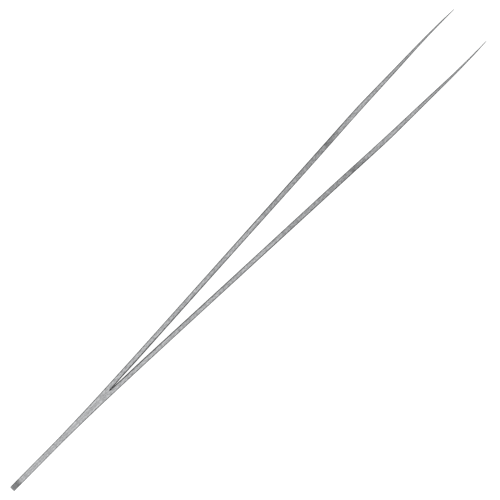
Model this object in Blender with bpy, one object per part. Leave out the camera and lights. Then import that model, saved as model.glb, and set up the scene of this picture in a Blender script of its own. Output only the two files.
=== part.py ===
"""Straight stainless-steel aquascaping tweezers, lying on their leaf edges.

+X runs from the heel to the tips, +Y is the side the left leaf opens to, +Z is across the leaves' width.
The origin is on the surface they lie on, midway along them and between the leaves. Metres.

Each leaf is one steel strip. It is modelled in two stretches, its welded heel and its arm, which meet at
the flexure: the point that the arm turns about when the leaf bends.
"""

import math

import bmesh
import bpy
from mathutils import Matrix, Vector

MM = 0.001
GAP = 0.3 * MM  # between neighbouring pieces

LENGTH = 270 * MM
WIDEST_HALF = 5.0 * MM  # half the leaf's greatest width, which is the height of its centre line

# The leaf seen on its edge: distance from the heel's end, distance from the centre plane, in mm.
OUTER_FACE = (
    (0, 1.23), (24, 1.23), (43, 1.56), (63, 2.28), (93, 3.64), (126, 5.26), (200, 8.97),
    (209, 9.42), (215, 9.63), (235, 9.83), (252, 9.99), (262, 9.86), (270, 9.50),
)
SPLIT = 59  # where the leaves part
INNER_FACE = (
    (0, 0.0), (SPLIT, 0.0), (62, 0.10), (65, 0.29), (70, 0.46), (93, 1.54), (126, 3.15), (186, 6.00),
    (212, 7.38), (235, 8.33), (252, 9.05), (262, 9.22), (270, 9.25),
)

# The leaf seen on its face, in metres.
HEEL_ROUND = 6.0 * MM  # length of the heel's half-oval end
HEEL_HALF = 4.2 * MM
HEEL_END_FLAT = 0.8 * MM  # half the flat left in the middle of that end
WIDENED = 78 * MM  # the leaf reaches its full width here
TAPER_START = 116 * MM
SHOULDER = 192 * MM  # the convex taper ends here and the concave fillet begins
SHOULDER_HALF = 3.1 * MM
FILLET_POWER = 3  # how sharply the fillet leaves the shoulder
NOSE = 209 * MM  # the fillet ends here
NOSE_HALF = 2.3 * MM
NOSE_POWER = 2.3  # how late the nose narrows
TIP_HALF = 1.0 * MM
TIP_ROUND = 1.2 * MM  # length of the tip's rounding
TIP_END_HALF = 0.5 * MM

RIM = 0.25 * MM  # corner radius of the leaf's long edges
RIM_SHARE = 0.3  # the most of the thickness that a corner takes, at the thin tip
RIM_STEPS = 2

FLEXURE = 88 * MM  # the arm's hinge line, from the heel's end

SEAM_STOP = 57.5 * MM  # the seam weld runs from here round the heel and back
SEAM_RADIUS = 0.3 * MM
SPOT_WELDS = {"spot_weld_rear": 10 * MM, "spot_weld_middle": 28 * MM, "spot_weld_front": 46 * MM}
SPOT_RADIUS = 2.0 * MM
SPOT_DEPTH = 0.35 * MM  # half the nugget's thickness

GRIP_START = 104 * MM
GRIP_PITCH = 1.8 * MM
GRIP_GROOVES = 24
GRIP_HALF = 3.4 * MM  # half the grooves' length, short of the leaf's edges
GRIP_DEPTH = 0.25 * MM
GRIP_WIDTH = 0.7 * MM

TEETH_START = 246 * MM
TEETH_PITCH = 1.0 * MM
TEETH = 22
TEETH_DEPTH = 0.12 * MM

STEEL = (0.60, 0.61, 0.62, 1.0)
WELD_STEEL = (0.52, 0.52, 0.53, 1.0)


def clear_scene():
    for item in list(bpy.data.objects):
        bpy.data.objects.remove(item, do_unlink=True)


def collection(name):
    group = bpy.data.collections.new(name)
    bpy.context.scene.collection.children.link(group)
    return group


def steel(name, colour, roughness):
    material = bpy.data.materials.new(name)
    material.use_nodes = True
    shader = material.node_tree.nodes["Principled BSDF"]
    shader.inputs["Base Color"].default_value = colour
    shader.inputs["Metallic"].default_value = 1.0
    shader.inputs["Roughness"].default_value = roughness
    return material


# The leaf's outline


def curve_through(knots, along):
    """Height of the smooth curve through knots, given in mm, at a distance given in metres."""
    place = along / MM
    last = len(knots) - 2
    i = min(max(sum(place >= knot[0] for knot in knots) - 1, 0), last)
    (x0, y0), (x1, y1) = knots[i], knots[i + 1]
    slopes = [(b[1] - a[1]) / (b[0] - a[0]) for a, b in zip(knots, knots[1:])]

    def tangent(k):
        if k == 0 or k == len(knots) - 1:
            return slopes[min(k, len(slopes) - 1)]
        before, after = slopes[k - 1], slopes[k]
        if before * after <= 0:
            return 0.0
        return 2 * before * after / (before + after)

    span = x1 - x0
    t = (place - x0) / span
    rise = (
        (2 * t**3 - 3 * t**2 + 1) * y0
        + (t**3 - 2 * t**2 + t) * span * tangent(i)
        + (3 * t**2 - 2 * t**3) * y1
        + (t**3 - t**2) * span * tangent(i + 1)
    )
    return rise * MM


def outer_face(along):
    return curve_through(OUTER_FACE, along)


def inner_face(along):
    """The inner face, kept half a gap off the centre plane where the leaves are joined."""
    return max(curve_through(INNER_FACE, along), GAP / 2)


def ease(t):
    return t * t * (3 - 2 * t)


def nose_line(along):
    t = (along - NOSE) / (LENGTH - NOSE)
    return NOSE_HALF + (TIP_HALF - NOSE_HALF) * t**NOSE_POWER


def half_width(along):
    """Half the leaf's width, from its round heel to its rounded tip."""
    if along < HEEL_ROUND:
        round_end = HEEL_HALF * math.sqrt(1 - (1 - along / HEEL_ROUND) ** 2)
        return max(round_end, HEEL_END_FLAT)
    if along < WIDENED:
        t = (along - HEEL_ROUND) / (WIDENED - HEEL_ROUND)
        return HEEL_HALF + (WIDEST_HALF - HEEL_HALF) * ease(t)
    if along < TAPER_START:
        return WIDEST_HALF
    if along < SHOULDER:
        t = (along - TAPER_START) / (SHOULDER - TAPER_START)
        return WIDEST_HALF - (WIDEST_HALF - SHOULDER_HALF) * t * t
    if along < NOSE:
        t = (along - SHOULDER) / (NOSE - SHOULDER)
        return NOSE_HALF + (SHOULDER_HALF - NOSE_HALF) * (1 - t) ** FILLET_POWER
    if along < LENGTH - TIP_ROUND:
        return nose_line(along)
    t = (along - LENGTH + TIP_ROUND) / TIP_ROUND
    return TIP_END_HALF + (nose_line(along) - TIP_END_HALF) * math.sqrt(max(1 - t * t, 0))


def row_x(along):
    return along - LENGTH / 2


def section(along, side):
    """The leaf's rounded oblong cross-section as a ring of points. side is +1 for left, -1 for right."""
    inner, outer = inner_face(along), outer_face(along)
    half = half_width(along)
    rim = min(RIM, RIM_SHARE * (outer - inner))
    corners = (
        (outer - rim, half - rim, 0),
        (inner + rim, half - rim, 90),
        (inner + rim, rim - half, 180),
        (outer - rim, rim - half, 270),
    )
    ring = []
    for y, z, start in corners:
        for step in range(RIM_STEPS + 1):
            angle = math.radians(start + 90 * step / RIM_STEPS)
            point_y = y + rim * math.cos(angle)
            point_z = z + rim * math.sin(angle)
            ring.append(Vector((row_x(along), side * point_y, WIDEST_HALF + point_z)))
    return ring


def stations(start, stop, spacing):
    count = max(round((stop - start) / spacing), 1)
    return [start + (stop - start) * i / count for i in range(count + 1)]


def stations_through(*stretches):
    """Stations of several stretches run together. Each stretch is (start, stop, spacing)."""
    places = []
    for start, stop, spacing in stretches:
        places += stations(start, stop, spacing)[:-1]
    return places + [stretches[-1][1]]


def heel_stations():
    """Close together round the heel's end, by equal angles, then spread out to the flexure."""
    first = math.asin(HEEL_END_FLAT / HEEL_HALF)
    steps = 7
    angles = [first + (math.pi / 2 - first) * i / steps for i in range(steps)]
    round_end = [HEEL_ROUND * (1 - math.cos(angle)) for angle in angles]
    round_end[0] = 0.0
    rest = stations_through(
        (HEEL_ROUND, SPLIT * MM, 4 * MM), (SPLIT * MM, FLEXURE - GAP / 2, 4 * MM)
    )
    return round_end + rest


def arm_stations():
    return stations_through(
        (FLEXURE + GAP / 2, TAPER_START, 6 * MM),
        (TAPER_START, SHOULDER, 5 * MM),
        (SHOULDER, NOSE, 1.8 * MM),
        (NOSE, LENGTH - TIP_ROUND, 4 * MM),
        (LENGTH - TIP_ROUND, LENGTH, 0.3 * MM),
    )


# Mesh helpers


def new_object(name, mesh, group, material=None):
    item = bpy.data.objects.new(name, mesh)
    group.objects.link(item)
    if material:
        mesh.materials.append(material)
    return item


def move_origin(item, origin):
    item.data.transform(Matrix.Translation(-Vector(origin)))
    item.location = origin


def loft(name, rings, group, material):
    """A closed solid through a row of rings of equal point counts."""
    mesh = bmesh.new()
    loops = [[mesh.verts.new(point) for point in ring] for ring in rings]
    count = len(loops[0])
    for near, far in zip(loops, loops[1:]):
        for i in range(count):
            j = (i + 1) % count
            mesh.faces.new((near[i], near[j], far[j], far[i]))
    mesh.faces.new(loops[0])
    mesh.faces.new(loops[-1])
    bmesh.ops.recalc_face_normals(mesh, faces=mesh.faces)
    data = bpy.data.meshes.new(name)
    mesh.to_mesh(data)
    mesh.free()
    return new_object(name, data, group, material)


def as_cutter(item):
    item.hide_render = True
    item.display_type = "WIRE"
    return item


def cut(item, cutter):
    boolean = item.modifiers.new("Cut by " + cutter.name, "BOOLEAN")
    boolean.operation = "DIFFERENCE"
    boolean.object = cutter


def shade(item):
    item.data.shade_smooth()
    item.data.set_sharp_from_angle(angle=math.radians(35))


# The leaves


def leaf_stretch(name, side, places, group, material):
    item = loft(name, [section(place, side) for place in places], group, material)
    shade(item)
    return item


def boxes(name, places, size, group):
    """One cutter made of equal boxes, each at (position, turn about Z in radians)."""
    mesh = bmesh.new()
    for position, turn in places:
        matrix = Matrix.Translation(position) @ Matrix.Rotation(turn, 4, "Z")
        bmesh.ops.create_cube(mesh, size=1, matrix=matrix @ Matrix.Diagonal((*size, 1)))
    data = bpy.data.meshes.new(name)
    mesh.to_mesh(data)
    mesh.free()
    return as_cutter(new_object(name, data, group))


def grip_cutter(side, group):
    """Shallow grooves across the leaf's outer face, stopping short of its edges."""
    depth = 2 * GRIP_DEPTH
    places = []
    for i in range(GRIP_GROOVES):
        along = GRIP_START + i * GRIP_PITCH
        slope = (outer_face(along + MM) - outer_face(along - MM)) / (2 * MM)
        position = Vector((row_x(along), side * outer_face(along), WIDEST_HALF))
        places.append((position, side * math.atan(slope)))
    size = (GRIP_WIDTH, depth, 2 * GRIP_HALF)
    return boxes(f"grip_cutter_{side:+d}", places, size, group)


def teeth_cutter(side, group):
    """V-shaped grooves across the tip's inner face: square bars turned onto one corner."""
    bar = 2 * TEETH_DEPTH / math.sqrt(2)
    places = []
    for i in range(TEETH):
        along = TEETH_START + i * TEETH_PITCH
        position = Vector((row_x(along), side * inner_face(along), WIDEST_HALF))
        places.append((position, math.radians(45)))
    size = (bar, bar, 2 * WIDEST_HALF)
    return boxes(f"teeth_cutter_{side:+d}", places, size, group)


def arm(name, side, parts, cutters, material):
    """The moving stretch of a leaf, with its origin on the flexure's hinge line."""
    item = leaf_stretch(name, side, arm_stations(), parts, material)
    cut(item, grip_cutter(side, cutters))
    cut(item, teeth_cutter(side, cutters))
    middle = (outer_face(FLEXURE) + inner_face(FLEXURE)) / 2
    move_origin(item, (row_x(FLEXURE), side * middle, 0))
    return item


# The welds


def seam_path():
    """From the split along the upper edge, round the heel's end and back along the lower edge."""
    inset = SEAM_RADIUS
    upper = []
    for along in stations(HEEL_ROUND, SEAM_STOP, 5 * MM):
        upper.append((along, half_width(along) - inset))
    turn = []
    steps = 12
    for i in range(1, steps):
        angle = math.pi * i / steps
        along = HEEL_ROUND - (HEEL_ROUND - inset) * math.sin(angle)
        turn.append((along, (HEEL_HALF - inset) * math.cos(angle)))
    lower = [(along, -z) for along, z in upper]
    return list(reversed(upper)) + turn + lower


def seam_curve(name, radius, group):
    data = bpy.data.curves.new(name, "CURVE")
    data.dimensions = "3D"
    data.bevel_depth = radius
    data.bevel_resolution = 1
    data.use_fill_caps = True
    spline = data.splines.new("POLY")
    path = seam_path()
    spline.points.add(len(path) - 1)
    for point, (along, z) in zip(spline.points, path):
        point.co = (row_x(along), 0, WIDEST_HALF + z, 1)
    item = bpy.data.objects.new(name, data)
    group.objects.link(item)
    return item


def meshed(curve, group):
    """The curve's tube as a closed mesh object of the same name, in the curve's place."""
    name, matrix = curve.name, curve.matrix_world.copy()
    evaluated = curve.evaluated_get(bpy.context.evaluated_depsgraph_get())
    data = bpy.data.meshes.new_from_object(evaluated)
    mesh = bmesh.new()
    mesh.from_mesh(data)
    bmesh.ops.remove_doubles(mesh, verts=mesh.verts, dist=0.01 * MM)
    bmesh.ops.recalc_face_normals(mesh, faces=mesh.faces)
    mesh.to_mesh(data)
    mesh.free()
    bpy.data.objects.remove(curve, do_unlink=True)
    item = new_object(name, data, group)
    item.matrix_world = matrix
    return item


def lens(name, along, radius, depth, group, material=None):
    """A weld nugget: a flattened ball across the joint between the leaves."""
    mesh = bmesh.new()
    bmesh.ops.create_uvsphere(mesh, u_segments=20, v_segments=10, radius=1)
    bmesh.ops.scale(mesh, verts=mesh.verts, vec=(radius, depth, radius))
    data = bpy.data.meshes.new(name)
    mesh.to_mesh(data)
    mesh.free()
    item = new_object(name, data, group, material)
    item.location = (row_x(along), 0, WIDEST_HALF)
    data.shade_smooth()
    return item


def build():
    clear_scene()
    parts = collection("aquascaping_tweezers")
    cutters = collection("cutters")
    steel_satin = steel("satin_steel", STEEL, 0.35)
    steel_weld = steel("weld_steel", WELD_STEEL, 0.45)

    groove = as_cutter(meshed(seam_curve("seam_groove", SEAM_RADIUS + GAP, cutters), cutters))
    pockets = [
        as_cutter(lens("pocket_" + name, along, SPOT_RADIUS + GAP, SPOT_DEPTH + GAP, cutters))
        for name, along in SPOT_WELDS.items()
    ]
    for label, side in (("left", 1), ("right", -1)):
        heel = leaf_stretch(label + "_leaf_heel", side, heel_stations(), parts, steel_satin)
        for cutter in [groove, *pockets]:
            cut(heel, cutter)
        arm(label + "_leaf_arm", side, parts, cutters, steel_satin)

    seam = seam_curve("seam_weld", SEAM_RADIUS, parts)
    seam.data.materials.append(steel_weld)
    for name, along in SPOT_WELDS.items():
        lens(name, along, SPOT_RADIUS, SPOT_DEPTH, parts, steel_weld)


build()
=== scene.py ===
"""Looks of the aquascaping tweezers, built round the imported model.

They lie on their leaf edges: +X runs from the heel to the tips, +Y is the left leaf's side, +Z is up.
Metres. Distances called "along" are measured from the heel's end.
"""

import math

import bmesh
import bpy
import numpy as np
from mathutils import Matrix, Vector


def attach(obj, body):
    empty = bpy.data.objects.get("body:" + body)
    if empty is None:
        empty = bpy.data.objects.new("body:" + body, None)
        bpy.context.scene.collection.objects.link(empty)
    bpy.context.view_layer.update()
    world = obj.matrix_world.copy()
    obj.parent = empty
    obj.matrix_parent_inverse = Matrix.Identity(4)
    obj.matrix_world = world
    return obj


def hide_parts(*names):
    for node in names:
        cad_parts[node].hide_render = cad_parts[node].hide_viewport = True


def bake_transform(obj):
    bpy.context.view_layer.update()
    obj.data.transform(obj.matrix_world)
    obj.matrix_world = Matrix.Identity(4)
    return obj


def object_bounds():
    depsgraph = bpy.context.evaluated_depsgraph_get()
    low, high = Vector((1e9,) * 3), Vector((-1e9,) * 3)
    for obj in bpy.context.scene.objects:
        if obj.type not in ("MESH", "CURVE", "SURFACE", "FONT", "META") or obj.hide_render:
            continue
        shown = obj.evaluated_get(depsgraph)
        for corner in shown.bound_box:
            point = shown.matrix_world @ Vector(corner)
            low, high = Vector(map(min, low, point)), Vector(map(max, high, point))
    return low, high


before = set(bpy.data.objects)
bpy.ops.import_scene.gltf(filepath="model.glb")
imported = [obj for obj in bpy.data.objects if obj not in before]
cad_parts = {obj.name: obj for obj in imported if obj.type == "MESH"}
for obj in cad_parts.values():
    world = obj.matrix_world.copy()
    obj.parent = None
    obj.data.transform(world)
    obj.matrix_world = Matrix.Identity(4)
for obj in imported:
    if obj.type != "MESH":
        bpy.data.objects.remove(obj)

CAD_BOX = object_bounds()
MM = 0.001

# The leaf's outline, as the model has it

HEEL_X = CAD_BOX[0].x
LENGTH = CAD_BOX[1].x - CAD_BOX[0].x
CENTRE_Z = (CAD_BOX[0].z + CAD_BOX[1].z) / 2
WIDEST_HALF = (CAD_BOX[1].z - CAD_BOX[0].z) / 2

# Seen on its edge: (distance along, distance from the centre plane), in mm.
OUTER_FACE = (
    (0, 1.23), (24, 1.23), (43, 1.56), (63, 2.28), (93, 3.64), (126, 5.26), (200, 8.97),
    (209, 9.42), (215, 9.63), (235, 9.83), (252, 9.99), (262, 9.86), (270, 9.50),
)
INNER_FACE = (
    (0, 0.0), (59, 0.0), (62, 0.10), (65, 0.29), (70, 0.46), (93, 1.54), (126, 3.15), (186, 6.00),
    (212, 7.38), (235, 8.33), (252, 9.05), (262, 9.22), (270, 9.25),
)
JOINT_CLEAR = 0.01 * MM  # half the hairline between the leaves in the heel

# Seen on its face.
HEEL_ROUND = 6.0 * MM  # length of the heel's rounded end
HEEL_HALF = 4.2 * MM
HEEL_END_FLAT = 0.8 * MM  # half the flat that the rounded end stops at
WIDENED = 78 * MM  # where the leaf reaches its full width
TAPER_START = 116 * MM
SHOULDER = 192.0 * MM
SHOULDER_HALF = 3.1 * MM
FILLET_POWER = 3  # how sharply the fillet leaves the shoulder
NOSE = 209 * MM
NOSE_HALF = 2.3 * MM
NOSE_POWER = 2.3  # how late the nose narrows
TIP_HALF = 1.0 * MM
TIP_ROUND = 1.2 * MM
TIP_END_HALF = 0.5 * MM

# Finishing of the leaf
# Radius of the long edges' corners: (distance along, radius), in mm.
OUTER_RIM = ((0, 0.38), (120, 0.38), (145, 0.47), (202, 0.47), (214, 0.38), (270, 0.38))
INNER_RIM = ((0, 0.10), (56, 0.10), (59, 0.45), (66, 0.50), (175, 0.32), (270, 0.32))
RIM_SHARE = 0.24  # the most of the thickness that a corner takes
TIP_RIM_SHARE = 0.42
TIP_RIM_START = 258 * MM
TIP_RIM_FULL = 267 * MM
OUTER_CORNER_SHADE_AND_DULLNESS = 0.8  # how far the outer corners' steel is darkened with painted shade and made rougher, from 0 to 1
# The same of the inner corners, painted darker near the split as the shade that the other leaf casts
# there: (mm along, painted shade and dullness).
INNER_CORNER_SHADE_AND_DULLNESS = ((55, 0.8), (60, 1.0), (95, 1.0), (140, 0.8))
EDGE_CROWN = 0.02 * MM  # how far the ground edge faces bulge
FACE_CROWN = 0.02 * MM  # how far the outer face bulges
FULL_CROWN = 2 * MM  # the crowns are lower where the leaf is thinner than this
END_BREAK = 0.25 * MM  # rounding of the heel's end

GRIP_START = 104 * MM
GRIP_PITCH = 1.8 * MM
GRIP_GROOVES = 24
GRIP_HALF = 3.4 * MM
GRIP_DEPTH = 0.22 * MM
GRIP_SHARPNESS = 2.6  # the pitch over a groove's half-breadth
GRIP_FADE = 0.45 * MM  # length over which a groove runs out at its ends

TEETH_START = 246 * MM
TEETH_PITCH = 1.0 * MM
TEETH = 22
TEETH_DEPTH = 0.12 * MM

SEAM_STOP = 57.5 * MM
SEAM_HALF = 0.30 * MM  # half the weld bead's breadth
SEAM_PROUD = 0.012 * MM
SEAM_DEPTH = 0.4 * MM
SEAM_MIDDLE = (3 * HEEL_ROUND, 0)  # a point inside the outline, as (along, z)
SEAM_SPACING = 1 * MM
SEAM_SIDES = 16
SEAM_TURN_STEPS = 20

# How finely the leaf's mesh is divided: steps round a corner, across an edge face and across a face,
# steps along the heel's round end and for each groove, and the other spacings along the leaf.
CORNER_STEPS = 5
EDGE_STEPS = 6
FACE_STEPS = 22
HEEL_STEPS = 16
GRIP_STEPS = 14
TEETH_STEPS = 12
PLAIN_SPACING = 2 * MM
NEAR_SPACING = 1.5 * MM
SPLIT_SPACING = 0.5 * MM
SHOULDER_SPACING = 0.25 * MM
TIP_SPACING = 0.1 * MM
SPLIT_START = SEAM_STOP - 3 * MM
SPLIT_STOP = 70 * MM
END_STATIONS = (0, 0.03 * MM, 0.07 * MM)  # the first, within the rounding of the heel's end
END_STATIONS_STOP = 0.1 * MM
SHARP_ANGLE = math.radians(50)  # edges sharper than this are shaded as edges

# Colours of the steel
PALE_GRAIN = (0.685, 0.687, 0.69, 1)
DARK_GRAIN = (0.485, 0.489, 0.495, 1)
CLOUDED = (0.50, 0.506, 0.517, 1)
# Painted shade: the rounded corners' colour is darkened towards this, standing in for the shade that
# falls on them
PAINTED_CORNER_SHADE = (0.17, 0.172, 0.177, 1)
# Painted shade: the grooves' colour is darkened towards this
PAINTED_GROOVE_SHADE = (0.30, 0.30, 0.31, 1)
PALE_WELD = (0.62, 0.62, 0.625, 1)
DARK_WELD = (0.50, 0.505, 0.515, 1)
NOISE_SPAN = (0.3, 0.7)  # what a noise texture's values mostly lie between

# The picture
PICTURE_WIDTH = 206.5 * MM  # from side to side, at the height of the leaves' upper edges
PICTURE_CENTRE = (4.67 * MM, -0.51 * MM)
AXIS_TILT = math.radians(45.37)  # of the tweezers in the picture
CAMERA_HEIGHT = 2.0  # above the leaves' upper edges
SENSOR = 36.0  # mm, as Blender counts it
FLOOR_HALF = 6.0  # half the floor's side
FLOOR_COLOUR = (0.9, 0.9, 0.9, 1)
FLOOR_GLOW = 0.93

# The studio: brightnesses, and the places on the unit sphere round the tweezers where each one's soft
# edge starts and stops, as distances along one axis
STUDIO_TINT = (0.985, 0.992, 1.0, 1)
ROOM = 0.42
PANEL = 0.79  # of the panel overhead, on top of the room's
PANEL_HEEL_EDGE = (-0.55, -0.10)
PANEL_TIP_EDGE = (-0.03, 0.19)
PANEL_SIDE_EDGE = (0.14, 0.60)
PANEL_LOW_EDGE = (0.1, 0.5)
DARK_CARDS = 0.04  # of the cards along both sides, which the corners reflect
CARD_SIDE_EDGE = (0.20, 0.70)
CARD_LOW_EDGE = (-0.22, 0.02)
TABLE = 1.2
TABLE_FAR_EDGE = (-0.50, -0.15)
TABLE_SIDE_EDGE = (0.1, 0.5)


# Outline functions, on arrays


def curve_through(knots, along):
    """Height of the smooth curve through knots, given in mm, at distances given in metres."""
    xs, ys = (np.array(column, float) for column in zip(*knots))
    slopes = np.diff(ys) / np.diff(xs)
    before, after = slopes[:-1], slopes[1:]
    rising = before * after > 0
    inner = np.where(rising, 2 * before * after / np.where(rising, before + after, 1), 0)
    tangents = np.concatenate([slopes[:1], inner, slopes[-1:]])
    place = np.asarray(along) / MM
    i = np.clip(np.searchsorted(xs, place, side="right") - 1, 0, len(xs) - 2)
    span = xs[i + 1] - xs[i]
    t = (place - xs[i]) / span
    rise = (
        (2 * t**3 - 3 * t**2 + 1) * ys[i]
        + (t**3 - 2 * t**2 + t) * span * tangents[i]
        + (3 * t**2 - 2 * t**3) * ys[i + 1]
        + (t**3 - t**2) * span * tangents[i + 1]
    )
    return rise * MM


def outer_face(along):
    return curve_through(OUTER_FACE, along)


def inner_face(along):
    return np.maximum(curve_through(INNER_FACE, along), JOINT_CLEAR)


def ease(t):
    t = np.clip(t, 0, 1)
    return t * t * (3 - 2 * t)


def nose_line(along):
    t = np.clip((along - NOSE) / (LENGTH - NOSE), 0, 1)
    return NOSE_HALF + (TIP_HALF - NOSE_HALF) * t**NOSE_POWER


def half_width(along):
    """Half the leaf's width, from its round heel to its rounded tip."""
    along = np.asarray(along, float)
    heel = HEEL_HALF * np.sqrt(np.clip(1 - (1 - along / HEEL_ROUND) ** 2, 0, 1))
    widening = ease((along - HEEL_ROUND) / (WIDENED - HEEL_ROUND))
    taper = (along - TAPER_START) / (SHOULDER - TAPER_START)
    fillet = (along - SHOULDER) / (NOSE - SHOULDER)
    tip = np.clip((along - LENGTH + TIP_ROUND) / TIP_ROUND, 0, 1)
    return np.select(
        [
            along < HEEL_ROUND, along < WIDENED, along < TAPER_START, along < SHOULDER,
            along < NOSE, along < LENGTH - TIP_ROUND,
        ],
        [
            np.maximum(heel, HEEL_END_FLAT),
            HEEL_HALF + (WIDEST_HALF - HEEL_HALF) * widening,
            np.full_like(along, WIDEST_HALF),
            WIDEST_HALF - (WIDEST_HALF - SHOULDER_HALF) * taper**2,
            NOSE_HALF + (SHOULDER_HALF - NOSE_HALF) * (1 - fillet) ** FILLET_POWER,
            nose_line(along),
        ],
        TIP_END_HALF + (nose_line(along) - TIP_END_HALF) * np.sqrt(1 - tip**2),
    )


def stations_through(*stretches):
    """Distances along the leaf, from stretches of (start, stop, spacing)."""
    places = []
    for start, stop, spacing in stretches:
        count = max(round((stop - start) / spacing), 1)
        places.append(np.linspace(start, stop, count, endpoint=False))
    return np.append(np.concatenate(places), stretches[-1][1])


# The leaf's mesh


def ring_pattern():
    """The section's points in order, as (across the thickness, across the width, corner y, corner z).

    The first two are -1 to 1 over the section inside its corners, and the last two are the direction
    that the corner's radius is added in.
    """
    rows = []
    sides = (
        ((1, 1), 0, (0, 1), EDGE_STEPS),
        ((-1, 1), 90, (-1, 0), FACE_STEPS),
        ((-1, -1), 180, (0, -1), EDGE_STEPS),
        ((1, -1), 270, (1, 0), FACE_STEPS),
    )
    for (a, b), start, out, steps in sides:
        for i in range(CORNER_STEPS):
            angle = math.radians(start + 90 * i / CORNER_STEPS)
            rows.append((a, b, math.cos(angle), math.sin(angle)))
        for i in range(steps):
            t = 1 - 2 * i / steps
            rows.append((t * a, b, *out) if out[0] == 0 else (a, t * b, *out))
    return np.array(rows)


def grip_groove(along, z):
    """Depth of the grip's grooves, from 0 to 1: rounded valleys that run out before the leaf's edges."""
    phase = (along - GRIP_START) / GRIP_PITCH
    inside = (phase > -0.5) & (phase < GRIP_GROOVES - 0.5)
    valley = np.clip(1 - (GRIP_SHARPNESS * np.abs(phase - np.round(phase))) ** 2, 0, 1)
    ends = ease((GRIP_HALF - np.abs(z)) / GRIP_FADE)
    return np.where(inside, valley, 0) * ends


def tooth_groove(along):
    """Depth of the V grooves across the tip's inner face, from 0 to 1."""
    phase = (along - TEETH_START) / TEETH_PITCH
    inside = (phase > -0.5) & (phase < TEETH - 0.5)
    half_breadth = TEETH_DEPTH / TEETH_PITCH
    valley = np.clip(1 - np.abs(phase - np.round(phase)) / half_breadth, 0, 1)
    return np.where(inside, valley, 0)


def leaf_stations():
    """Distances along the leaf of the mesh's rings."""
    first = math.asin(HEEL_END_FLAT / HEEL_HALF)
    angles = np.linspace(first, math.pi / 2, HEEL_STEPS, endpoint=False)
    round_end = HEEL_ROUND * (1 - np.cos(angles))
    round_end = np.concatenate([END_STATIONS, round_end[round_end > END_STATIONS_STOP]])
    grip_start, grip_stop = GRIP_START - GRIP_PITCH, GRIP_START + GRIP_GROOVES * GRIP_PITCH
    fillet_start = SHOULDER - 1 * MM
    teeth_start, teeth_stop = TEETH_START - TEETH_PITCH, TEETH_START + TEETH * TEETH_PITCH
    rest = stations_through(
        (HEEL_ROUND, SPLIT_START, PLAIN_SPACING),
        (SPLIT_START, SPLIT_STOP, SPLIT_SPACING),
        (SPLIT_STOP, grip_start, PLAIN_SPACING),
        (grip_start, grip_stop, GRIP_PITCH / GRIP_STEPS),
        (grip_stop, fillet_start, NEAR_SPACING),
        (fillet_start, NOSE, SHOULDER_SPACING),
        (NOSE, teeth_start, NEAR_SPACING),
        (teeth_start, teeth_stop, TEETH_PITCH / TEETH_STEPS),
        (teeth_stop, LENGTH, TIP_SPACING),
    )
    return np.concatenate([round_end, rest])


def end_break(along):
    """How far the faces draw in where the heel's end is rounded over."""
    t = np.clip(1 - along / END_BREAK, 0, 1)
    return END_BREAK * (1 - np.sqrt(1 - t * t))


def corner_radii(along, thickness):
    """Radii of the outer and the inner corners, which thin leaves and pointed tips limit."""
    tip = ease((along - TIP_RIM_START) / (TIP_RIM_FULL - TIP_RIM_START))
    limit = (RIM_SHARE + (TIP_RIM_SHARE - RIM_SHARE) * tip) * thickness
    return [np.minimum(curve_through(knots, along), limit) for knots in (OUTER_RIM, INNER_RIM)]


def leaf_points(side):
    """Points of a leaf by station and place round the section, with what the finish needs of each."""
    along = leaf_stations()[:, None]
    a, b, corner_y, corner_z = ring_pattern().T[:, None, :]
    drawn_in = end_break(along)
    outer, inner = outer_face(along) - drawn_in, inner_face(along)
    half = half_width(along) - drawn_in
    outer_rim, inner_rim = corner_radii(along, outer - inner)
    rim = np.where(a > 0, outer_rim, inner_rim)
    fade = np.clip((outer - inner) / FULL_CROWN, 0, 1)
    edge_crown, face_crown = EDGE_CROWN * fade, FACE_CROWN * fade
    flank = outer - face_crown
    low, high = inner + inner_rim, flank - outer_rim
    y = low + (high - low) * (1 + a) / 2 + rim * corner_y
    z = b * (half - rim - edge_crown) + rim * corner_z

    on_outer = np.maximum(corner_y, 0) * (np.abs(corner_z) < 0.5)
    on_inner = np.maximum(-corner_y, 0)
    on_edge = np.abs(corner_z) * (np.abs(corner_y) < 0.01)
    z = z + np.sign(b) * edge_crown * on_edge * (1 - a * a)
    y = y + face_crown * on_outer * (1 - b * b)
    grip = grip_groove(along, z) * on_outer
    teeth = tooth_groove(along) * on_inner
    y = y - GRIP_DEPTH * grip + TEETH_DEPTH * teeth

    x = HEEL_X + along + 0 * y
    points = np.stack([x, side * y, CENTRE_Z + z], axis=-1)
    # The corners get painted shade (a darker colour) and more roughness; the inner ones are painted
    # darker near the split, where the other leaf shades them.
    round_off = 2 * (1 - np.maximum(np.abs(corner_y), np.abs(corner_z))) / (1 - math.sqrt(0.5))
    inner_corner_shade_and_dullness = np.interp(along / MM, *zip(*INNER_CORNER_SHADE_AND_DULLNESS))
    corner_shade_and_dullness = np.clip(round_off, 0, 1) * np.where(a > 0, OUTER_CORNER_SHADE_AND_DULLNESS, inner_corner_shade_and_dullness)
    edges = np.broadcast_to(np.abs(corner_z), y.shape)
    return points, {"rim": corner_shade_and_dullness, "edge": edges, "cut": np.maximum(grip, teeth)}


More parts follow.
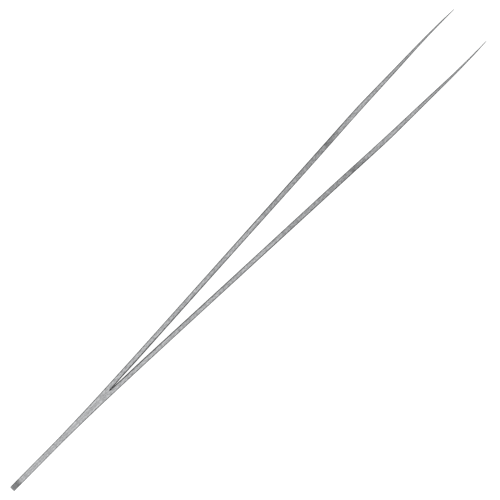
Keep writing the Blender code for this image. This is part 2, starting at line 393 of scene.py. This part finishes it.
def grid_mesh(name, points, flip, attributes=()):
    """A closed tube through rings of points, capped at both ends.

    Its UV map runs in metres: u along the tube and v round it, measured on its longest ring.
    """
    rows, count = points.shape[:2]
    i, j = np.meshgrid(np.arange(rows - 1), np.arange(count), indexing="ij")
    near, far = i * count, (i + 1) * count
    ahead = (j + 1) % count
    quads = np.stack([near + j, near + ahead, far + ahead, far + j], axis=-1).reshape(-1, 4)
    caps = [list(range(count))[::-1], list(range((rows - 1) * count, rows * count))]
    steps = np.linalg.norm(np.roll(points, -1, axis=1) - points, axis=2)
    longest = steps[steps.sum(1).argmax()]
    around = np.concatenate([[0], np.cumsum(longest)])
    along = np.broadcast_to(points[:, :1, 0], (rows, count))
    u = np.stack([along[i, 0], along[i, 0], along[i + 1, 0], along[i + 1, 0]], axis=-1)
    v = np.stack([around[j], around[j + 1], around[j + 1], around[j]], axis=-1)
    uv = np.stack([u, v], axis=-1).reshape(-1, 4, 2)
    if flip:
        quads, uv = quads[:, ::-1], uv[:, ::-1]
        caps = [cap[::-1] for cap in caps]
    cap_uv = points.reshape(-1, 3)[np.concatenate(caps), 1:]

    mesh = bpy.data.meshes.new(name)
    mesh.from_pydata(points.reshape(-1, 3).tolist(), [], quads.tolist() + caps)
    layer = mesh.uv_layers.new(name="Grain")
    flat = np.concatenate([uv.reshape(-1), cap_uv.reshape(-1)])
    layer.data.foreach_set("uv", flat.astype(np.float32))
    for label, values in dict(attributes).items():
        attribute = mesh.attributes.new(label, "FLOAT", "POINT")
        attribute.data.foreach_set("value", np.ascontiguousarray(values, np.float32).ravel())
    mesh.shade_smooth()
    mesh.set_sharp_from_angle(angle=SHARP_ANGLE)
    return mesh


def add_piece(name, mesh, material):
    piece = bpy.data.objects.new(name, mesh)
    bpy.context.scene.collection.objects.link(piece)
    mesh.materials.append(material)
    return piece


def make_leaf(label, side, material):
    """One unbroken leaf over the two solids that it is cut into, from heel to arm."""
    points, attributes = leaf_points(side)
    mesh = grid_mesh(label + "_leaf", points, side < 0, attributes)
    leaf = add_piece(label + "_leaf", mesh, material)
    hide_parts(label + "_leaf_heel", label + "_leaf_arm")
    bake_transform(leaf)


# The seam weld


def seam_outline():
    """The heel's outline, from the split round the end and back, and its outward normals.

    Both are lists of (along, z).
    """
    upper = stations_through((HEEL_ROUND, SEAM_STOP, SEAM_SPACING))[::-1]
    first = math.asin(HEEL_END_FLAT / HEEL_HALF)
    angles = np.linspace(math.pi / 2, first, SEAM_TURN_STEPS)[1:]
    turn = HEEL_ROUND * (1 - np.cos(angles))
    along = np.concatenate([upper, turn])
    z = half_width(along)
    path = np.stack([along, z], axis=1)
    path = np.concatenate([path, path[::-1] * (1, -1)])
    tangent = np.gradient(path, axis=0)
    tangent /= np.linalg.norm(tangent, axis=1)[:, None]
    normal = np.stack([tangent[:, 1], -tangent[:, 0]], axis=1)
    outward = np.sign((normal * (path - SEAM_MIDDLE)).sum(1))
    return path, normal * outward[:, None]


def make_seam(material):
    """The weld bead, ground almost flush, that closes the joint round the heel."""
    path, normal = seam_outline()
    angles = np.linspace(0, 2 * math.pi, SEAM_SIDES, endpoint=False)
    across = SEAM_HALF * np.cos(angles)[None, :]
    lift = np.where(np.sin(angles) > 0, SEAM_PROUD, SEAM_DEPTH) * np.sin(angles)
    place = path[:, None, :] + normal[:, None, :] * lift[None, :, None]
    y = np.broadcast_to(across, place.shape[:2])
    points = np.stack([HEEL_X + place[..., 0], y, CENTRE_Z + place[..., 1]], axis=-1)
    seam = add_piece("seam_bead", grid_mesh("seam_bead", points, True), material)
    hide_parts("seam_weld")
    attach(seam, "heel")


# Materials


class Nodes:
    """Short forms for building the nodes of a material or a world."""

    def __init__(self, owner, shader="Principled BSDF"):
        owner.use_nodes = True
        self.owner = owner
        self.tree = owner.node_tree
        self.shader = self.tree.nodes[shader]

    def add(self, kind, inputs=(), **settings):
        node = self.tree.nodes.new(kind)
        for key, value in settings.items():
            setattr(node, key, value)
        for key, value in dict(inputs).items():
            self.put(node.inputs[key], value)
        return node

    def put(self, socket, value):
        if isinstance(value, bpy.types.NodeSocket):
            self.tree.links.new(value, socket)
        else:
            socket.default_value = value

    def math(self, operation, a, b=0.0):
        return self.add("ShaderNodeMath", {0: a, 1: b}, operation=operation).outputs[0]

    def noise(self, vector, scale, detail=2.0, roughness=0.5):
        inputs = {"Vector": vector, "Scale": scale, "Detail": detail, "Roughness": roughness}
        return self.add("ShaderNodeTexNoise", inputs).outputs["Fac"]

    def stretched(self, vector, scale):
        node = self.add("ShaderNodeMapping", {"Vector": vector, "Scale": scale})
        return node.outputs["Vector"]

    def remap(self, value, low, high, to_low, to_high, kind="LINEAR"):
        inputs = {"Value": value, "From Min": low, "From Max": high, "To Min": to_low, "To Max": to_high}
        return self.add("ShaderNodeMapRange", inputs, interpolation_type=kind).outputs["Result"]

    def rise(self, value, edge):
        """From 0 to 1 over a soft edge, given as (start, stop)."""
        return self.remap(value, *edge, 0.0, 1.0, "SMOOTHSTEP")

    def fall(self, value, edge):
        """From 1 to 0 over a soft edge, given as (start, stop)."""
        return self.remap(value, *edge, 1.0, 0.0, "SMOOTHSTEP")

    def mix(self, factor, first, second):
        node = self.add("ShaderNodeMix", data_type="RGBA")
        colours = [socket for socket in node.inputs if socket.type == "RGBA"]
        self.put(node.inputs["Factor"], factor)
        self.put(colours[0], first)
        self.put(colours[1], second)
        return next(socket for socket in node.outputs if socket.type == "RGBA")

    def scaled(self, colour, gain):
        inputs = {"Vector": colour, "Scale": gain}
        return self.add("ShaderNodeVectorMath", inputs, operation="SCALE").outputs["Vector"]

    def attribute(self, name):
        return self.add("ShaderNodeAttribute", attribute_name=name).outputs["Fac"]


def leaf_steel():
    """Satin-ground stainless: fine lines along the leaf, speckled edges, rougher corners and grooves,
    both also painted darker as shade.
    """
    n = Nodes(bpy.data.materials.new("satin_steel_ground"))
    grain = n.add("ShaderNodeUVMap", uv_map="Grain").outputs["UV"]
    lines = n.noise(n.stretched(grain, (60, 9000, 1)), 1.0, 4, 0.6)
    broad = n.noise(n.stretched(grain, (22, 1400, 1)), 1.0, 3, 0.55)
    clouds = n.noise(n.stretched(grain, (70, 260, 1)), 1.0, 3, 0.6)
    mottle = n.noise(n.stretched(grain, (800, 1500, 1)), 1.0, 2, 0.6)
    rim, edge, cut = (n.attribute(name) for name in ("rim", "edge", "cut"))

    streaks = n.math("ADD", n.math("MULTIPLY", lines, 0.6), n.math("MULTIPLY", broad, 0.4))
    colour = n.mix(n.remap(streaks, *NOISE_SPAN, 0.0, 1.0), DARK_GRAIN, PALE_GRAIN)
    colour = n.mix(n.remap(clouds, 0.35, 0.75, 0.0, 0.3), colour, CLOUDED)
    speckle = n.remap(mottle, 0.36, 0.64, -0.14, 0.14)
    speckle = n.math("MULTIPLY", speckle, n.remap(edge, 0, 1, 0.5, 1.9))
    colour = n.scaled(colour, n.math("ADD", speckle, 1.0))
    # Painted shade: the corners' colour is darkened.
    colour = n.mix(rim, colour, PAINTED_CORNER_SHADE)
    # Painted shade: the grooves' colour is darkened.
    colour = n.mix(n.math("MULTIPLY", cut, 0.55), colour, PAINTED_GROOVE_SHADE)
    n.put(n.shader.inputs["Base Color"], colour)

    rough = n.remap(streaks, *NOISE_SPAN, 0.36, 0.26)
    rough = n.math("ADD", rough, n.remap(clouds, *NOISE_SPAN, -0.02, 0.05))
    rough = n.math("ADD", rough, n.math("MULTIPLY", cut, 0.12))
    rough = n.math("ADD", rough, n.math("MULTIPLY", rim, 0.05))
    n.put(n.shader.inputs["Roughness"], rough)
    n.shader.inputs["Metallic"].default_value = 1.0
    n.shader.inputs["Anisotropic"].default_value = 0.6
    tangent = n.add("ShaderNodeTangent", direction_type="RADIAL", axis="X").outputs["Tangent"]
    n.put(n.shader.inputs["Tangent"], tangent)

    height = n.math("ADD", n.math("MULTIPLY", lines, 0.7), n.math("MULTIPLY", broad, 0.3))
    bump = n.add("ShaderNodeBump", {"Strength": 0.35, "Distance": 0.03 * MM, "Height": height})
    n.put(n.shader.inputs["Normal"], bump.outputs["Normal"])
    return n.owner


def weld_steel():
    """Weld metal ground back by hand: shorter, crossed scratches and a duller grey."""
    n = Nodes(bpy.data.materials.new("weld_steel_ground"))
    place = n.add("ShaderNodeTexCoord").outputs["Object"]
    scratches = n.noise(n.stretched(place, (2500, 2500, 900)), 1.0, 3, 0.6)
    patches = n.noise(place, 900, 3, 0.6)
    tone = n.remap(n.math("ADD", scratches, patches), 0.7, 1.3, 0.0, 1.0)
    n.put(n.shader.inputs["Base Color"], n.mix(tone, DARK_WELD, PALE_WELD))
    n.put(n.shader.inputs["Roughness"], n.remap(scratches, *NOISE_SPAN, 0.42, 0.30))
    n.shader.inputs["Metallic"].default_value = 1.0
    bump = n.add("ShaderNodeBump", {"Strength": 0.3, "Distance": 0.02 * MM, "Height": scratches})
    n.put(n.shader.inputs["Normal"], bump.outputs["Normal"])
    return n.owner


def finish_nuggets(material):
    """Give the spot welds inside the heel their steel; they keep their modelled shape."""
    for name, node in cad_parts.items():
        if name.startswith("spot_weld"):
            node.data.materials.clear()
            node.data.materials.append(material)


# Stage, light and camera


def make_floor():
    """A plain pale floor, hidden from reflections: the steel reflects only the studio and itself."""
    mesh = bpy.data.meshes.new("floor")
    plane = bmesh.new()
    bmesh.ops.create_grid(plane, x_segments=1, y_segments=1, size=FLOOR_HALF)
    plane.to_mesh(mesh)
    plane.free()
    n = Nodes(bpy.data.materials.new("pale_floor"))
    n.shader.inputs["Base Color"].default_value = FLOOR_COLOUR
    n.shader.inputs["Roughness"].default_value = 1.0
    n.shader.inputs["Specular IOR Level"].default_value = 0.0
    n.shader.inputs["Emission Color"].default_value = (1, 1, 1, 1)
    n.shader.inputs["Emission Strength"].default_value = FLOOR_GLOW
    floor = add_piece("floor", mesh, n.owner)
    floor.location.z = CAD_BOX[0].z
    floor.visible_glossy = False


def make_surroundings():
    """Soft studio light: a grey room, a panel overhead, dark side cards and the table's pale sides."""
    n = Nodes(bpy.data.worlds.new("studio"), "Background")
    bpy.context.scene.world = n.owner
    facing = n.add("ShaderNodeTexCoord").outputs["Generated"]
    x, y, z = n.add("ShaderNodeSeparateXYZ", {0: facing}).outputs
    sideways = n.math("ABSOLUTE", y)

    panel = n.math("MULTIPLY", n.rise(x, PANEL_HEEL_EDGE), n.fall(x, PANEL_TIP_EDGE))
    panel = n.math("MULTIPLY", panel, n.fall(sideways, PANEL_SIDE_EDGE))
    panel = n.math("MULTIPLY", panel, n.rise(z, PANEL_LOW_EDGE))
    cards = n.math("MULTIPLY", n.rise(sideways, CARD_SIDE_EDGE), n.rise(z, CARD_LOW_EDGE))
    table = n.math("MULTIPLY", n.rise(sideways, TABLE_SIDE_EDGE), n.fall(z, TABLE_FAR_EDGE))

    strength = n.math("SUBTRACT", ROOM, n.math("MULTIPLY", cards, ROOM - DARK_CARDS))
    strength = n.math("ADD", strength, n.math("MULTIPLY", table, TABLE - ROOM))
    strength = n.math("ADD", strength, n.math("MULTIPLY", panel, PANEL))
    n.put(n.shader.inputs["Strength"], strength)
    n.shader.inputs["Color"].default_value = STUDIO_TINT


def make_camera():
    """The photograph's view: straight down onto the leaf edges."""
    data = bpy.data.cameras.new("camera")
    data.sensor_width = SENSOR
    data.lens = SENSOR * CAMERA_HEIGHT / PICTURE_WIDTH
    data.clip_start, data.clip_end = 0.1, 10
    camera = bpy.data.objects.new("camera", data)
    bpy.context.scene.collection.objects.link(camera)
    camera.location = (*PICTURE_CENTRE, CENTRE_Z + WIDEST_HALF + CAMERA_HEIGHT)
    camera.rotation_euler = (0, 0, -AXIS_TILT)
    bpy.context.scene.camera = camera
    bpy.context.scene.view_settings.view_transform = "Standard"


make_camera()
make_surroundings()
make_floor()
steel, weld = leaf_steel(), weld_steel()
make_leaf("left", 1, steel)
make_leaf("right", -1, steel)
make_seam(weld)
finish_nuggets(weld)
